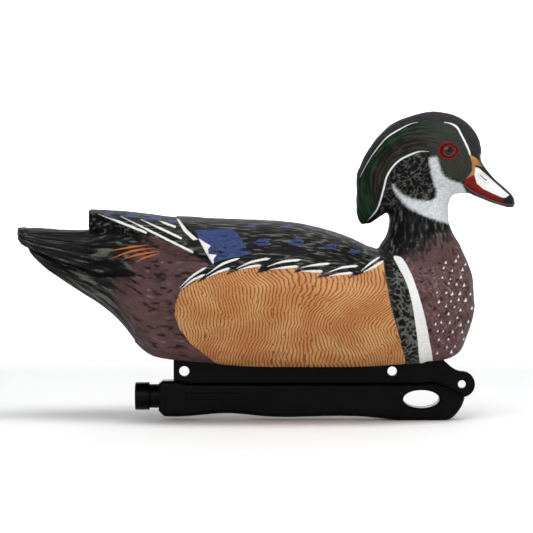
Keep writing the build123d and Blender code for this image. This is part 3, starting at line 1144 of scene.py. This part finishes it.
def body_paint():
    n = Paint("body_paint", 45)
    streaks, blotches, speckle, strokes = n.streaks, n.blotches, n.speckle, n.strokes
    # Rump and breast are maroon. The back, wings and tail are black.
    maroon, black = n.maroon_and_black_painted_shade_and_highlight()
    # Painted highlight: paler maroon on the highest ridges of the carved strokes.
    maroon = n.mix(n.ramp(strokes, 0.6, 1.3), maroon, "7c625e")
    black = n.mix(n.math("MULTIPLY", n.ramp(speckle, 0.6, 0.8), 0.4), black, "454541")
    colour = maroon
    for name, softness, ragged in (
        ("tail", 5, 9), ("neck", 8, 4), ("back", 0.5, 1), ("dark_pocket", 0.4, 0.8),
    ):
        colour = n.mix(n.inside(name, softness, ragged), colour, black)
    # Flank: tan, with dark carved lines
    tan = n.mix(n.ramp(blotches, 0.35, 0.7), "b87a49", "c99460")
    wave = n.math("COSINE", n.math("MULTIPLY", n.number("lines"), 2 * math.pi))
    broken = n.math("ADD", wave, n.math("MULTIPLY", n.math("SUBTRACT", speckle, 0.5), 2.6))
    tan = n.mix(n.math("MULTIPLY", n.ramp(broken, 0, 1.2), 0.85), tan, "56301b")
    colour = n.mix(n.inside("flank", 0.35, 0.5), colour, tan)
    blue = n.mix(n.ramp(streaks, 0.4, 0.7), "28355c", "3f4e80")
    # Painted shade: darker blue in the grooves of the strokes.
    blue = n.mix(n.ramp(strokes, -0.3, -1), blue, "10131f")
    colour = n.mix(n.inside("blue", 0.3, 0.8), colour, blue)
    white = n.mix(n.ramp(streaks, 0.3, 0.7), "d2d2cf", "e4e4e1")
    for name in ("white_bar", "white", "flecks"):
        colour = n.mix(n.inside(name, 0.3, 0.5), colour, white)
    colour = n.mix(n.inside("rust", 0.3, 0.4), colour, "b5632f")
    return n.finish(colour, n.roughness(), 0.5)


def head_paint():
    n = Paint("head_paint", 60)
    streaks, blotches, speckle = n.streaks, n.blotches, n.speckle
    feather_noise = n.math("SUBTRACT", n.noise(420, 4), 0.5)
    # Neck: the same maroon and black as the body, which meet the seam without a break
    maroon, black = n.maroon_and_black_painted_shade_and_highlight()
    colour = n.mix(n.inside("neck", 8, 4), maroon, black)
    # Crest: green at its edges, brown between, greyer towards the face
    # Painted shade and highlight: both crest colours are darker between the raised locks and lighter on
    # them.
    locks = n.ramp(n.number("locks"), -0.5, 0.7)
    green = n.mix(locks, "0b1810", "1e3726")
    brown = n.mix(locks, "17110f", "3a2a26")
    middle = n.math("SUBTRACT", n.number("radius"), 31)
    from_middle = n.math("ADD", n.math("ABSOLUTE", middle), n.math("MULTIPLY", feather_noise, 12))
    belt = n.ramp(from_middle, 9, 3)
    crest = n.mix(n.math("MULTIPLY", belt, 0.75), green, brown)
    grey = n.mix(speckle, "212620", "42443d")
    crest = n.mix(n.math("MULTIPLY", n.number("front"), 0.7), crest, grey)
    colour = n.mix(n.inside("crest", 0.4, 0.8), colour, crest)
    charcoal = n.mix(n.ramp(speckle, 0.35, 0.75), "161617", "3c3c3d")
    colour = n.mix(n.inside("cap", 0.8, 1.5), colour, charcoal)
    # Throat: white with a brushed edge. This white is painted greyer than the other whites, as shade,
    # because the throat faces downwards.
    white = n.mix(n.ramp(streaks, 0.3, 0.7), "b0b4b7", "d6dada")
    colour = n.mix(n.inside("throat", 1.5, 2.6, feather_noise), colour, white)
    colour = n.mix(n.inside("white", 0.25, 0.3), colour, "e6e8e6")
    # Bill
    orange = n.mix(n.ramp(blotches, 0.4, 0.6), "a8622f", "b0924a")
    red = n.mix(blotches, "5f0f0c", "8a1a15")
    for name, softness, ragged, paint in (
        ("bill", 0.4, 0.3, "1b1b1c"),
        ("bill_base", 0.4, 0.6, orange),
        ("bill_red", 0.4, 0.6, red),
        ("bill_white", 0.4, 0.5, "e4e4e2"),
        ("nostril", 0.3, 0.3, "77777a"),
    ):
        colour = n.mix(n.inside(name, softness, ragged), colour, paint)
    pink = n.math("MULTIPLY", n.inside("mouth", 0.3, 0.5), 0.6)
    colour = n.mix(pink, colour, "b4716a")
    colour = n.mix(n.inside("lid", 0.3, 0.2), colour, "72100e")
    # The bill and the eyelids are glossier.
    glossy = n.math("MULTIPLY", n.math("MAXIMUM", n.inside("bill", 0.4), n.inside("lid", 0.4)), -0.14)
    return n.finish(colour, n.math("ADD", n.roughness(), glossy), 0.45)


def eye_glass():
    n = Nodes("eye_glass")
    cloud = n.math("MULTIPLY", n.math("SUBTRACT", n.noise(500), 0.5), 0.8)
    radius = n.math("ADD", n.number("radius"), cloud)
    iris = n.mix(n.ramp(n.noise(900), 0.3, 0.7), "4a0f0c", "7a1d15")
    colour = n.mix(n.ramp(radius, 3.3, 3), iris, "0c140f")
    colour = n.mix(n.ramp(radius, 4.9, 5.4), colour, "8e1717")
    n.surface(colour, 0.12, 0.35)
    return n.material


def moulded_plastic(name, dark, light, low_roughness, grain_scale):
    """Black moulding with a fine sparked grain, paler where it has been rubbed."""
    n = Nodes(name)
    grit = n.noise(grain_scale, 3)
    cloud = n.noise(40, 5)
    rough = n.math("ADD", n.math("MULTIPLY", cloud, 0.22), low_roughness)
    n.surface(n.mix(n.ramp(cloud, 0.35, 0.75), dark, light), rough, 0.08)
    n.bump(n.math("ADD", grit, n.math("MULTIPLY", cloud, 0.8)), 0.25, 0.0002, edge_radius=0.0012)
    return n.material


def sand():
    n = Nodes("sand")
    place = n.add("ShaderNodeTexCoord").outputs["Object"]
    grains = n.add("ShaderNodeTexVoronoi", {"Vector": place, "Scale": 1600})
    n.surface(n.mix(n.noise(900), "a08a63", "cdb98e"), 0.9)
    n.bump(grains.outputs["Distance"], 0.8, 0.0005)
    return n.material


def wear(thing, material):
    thing.data.materials.clear()
    thing.data.materials.append(material)


wear(body, body_paint())
wear(head, head_paint())
glass = eye_glass()
for eye in eyes:
    wear(eye, glass)
node_materials = {
    "keel_shell": moulded_plastic("keel_plastic", "020202", "0a0a0a", 0.22, 1400),
    "keel_cap": moulded_plastic("cap_plastic", "020202", "0a0a0b", 0.20, 1100),
    "cap_seal": moulded_plastic("seal_rubber", "242424", "303030", 0.6, 1800),
    "ballast": sand(),
}
for node, material in node_materials.items():
    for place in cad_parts[node].material_slots:
        place.material = material


# ---- studio
def make_studio():
    """A pale floor that bends up into a backdrop. Sizes are in metres."""
    sweep_front, sweep_depth, sweep_height, bend, half_width = -4, 3, 3, 1, 5.0
    bend_steps = 12
    outline = [(sweep_front, 0), (sweep_depth - bend, 0)]
    for k in range(1, bend_steps + 1):
        angle = k / bend_steps * math.pi / 2
        outline.append((sweep_depth - bend + bend * math.sin(angle), bend - bend * math.cos(angle)))
    outline.append((sweep_depth, sweep_height))
    vertices = [(x, y, z) for y, z in outline for x in (-half_width, half_width)]
    faces = [(2 * i, 2 * i + 1, 2 * i + 3, 2 * i + 2) for i in range(len(outline) - 1)]
    mesh = bpy.data.meshes.new("floor")
    mesh.from_pydata(vertices, [], faces)
    floor = new_object("floor", mesh)
    smooth_faces(floor)
    n = Nodes("pale_floor")
    n.surface("f6f6f5", 0.9)
    floor.data.materials.append(n.material)


def area_light(name, place, target, size, power_watts):
    data = bpy.data.lights.new(name, "AREA")
    data.shape = "RECTANGLE"
    data.size, data.size_y = size
    data.energy = power_watts
    light = new_object(name, data)
    light.location = place
    aim(light, Vector(target) - Vector(place))


make_studio()
# Each light: where it is, what it points at, its size and its power. Places are in metres.
decoy_middle = (0, 0, 0.1)
area_light("overhead", (0.2, -0.5, 1.6), decoy_middle, (1.2, 0.9), 17)
area_light("front_fill", (-0.6, -2.2, 0.9), decoy_middle, (1.4, 0.9), 11)
area_light("bill_side", (1.8, -0.6, 0.7), decoy_middle, (0.8, 0.8), 7)
area_light("backdrop", (0, 1.2, 1.6), (0, 2.9, 0.8), (3, 1.5), 80)
world = bpy.data.worlds.new("studio_light")
world.use_nodes = True
background = world.node_tree.nodes["Background"]
background.inputs["Color"].default_value = (0.95, 0.97, 1, 1)
background.inputs["Strength"].default_value = 0.42
bpy.context.scene.world = world
bpy.context.scene.view_settings.view_transform = "Standard"
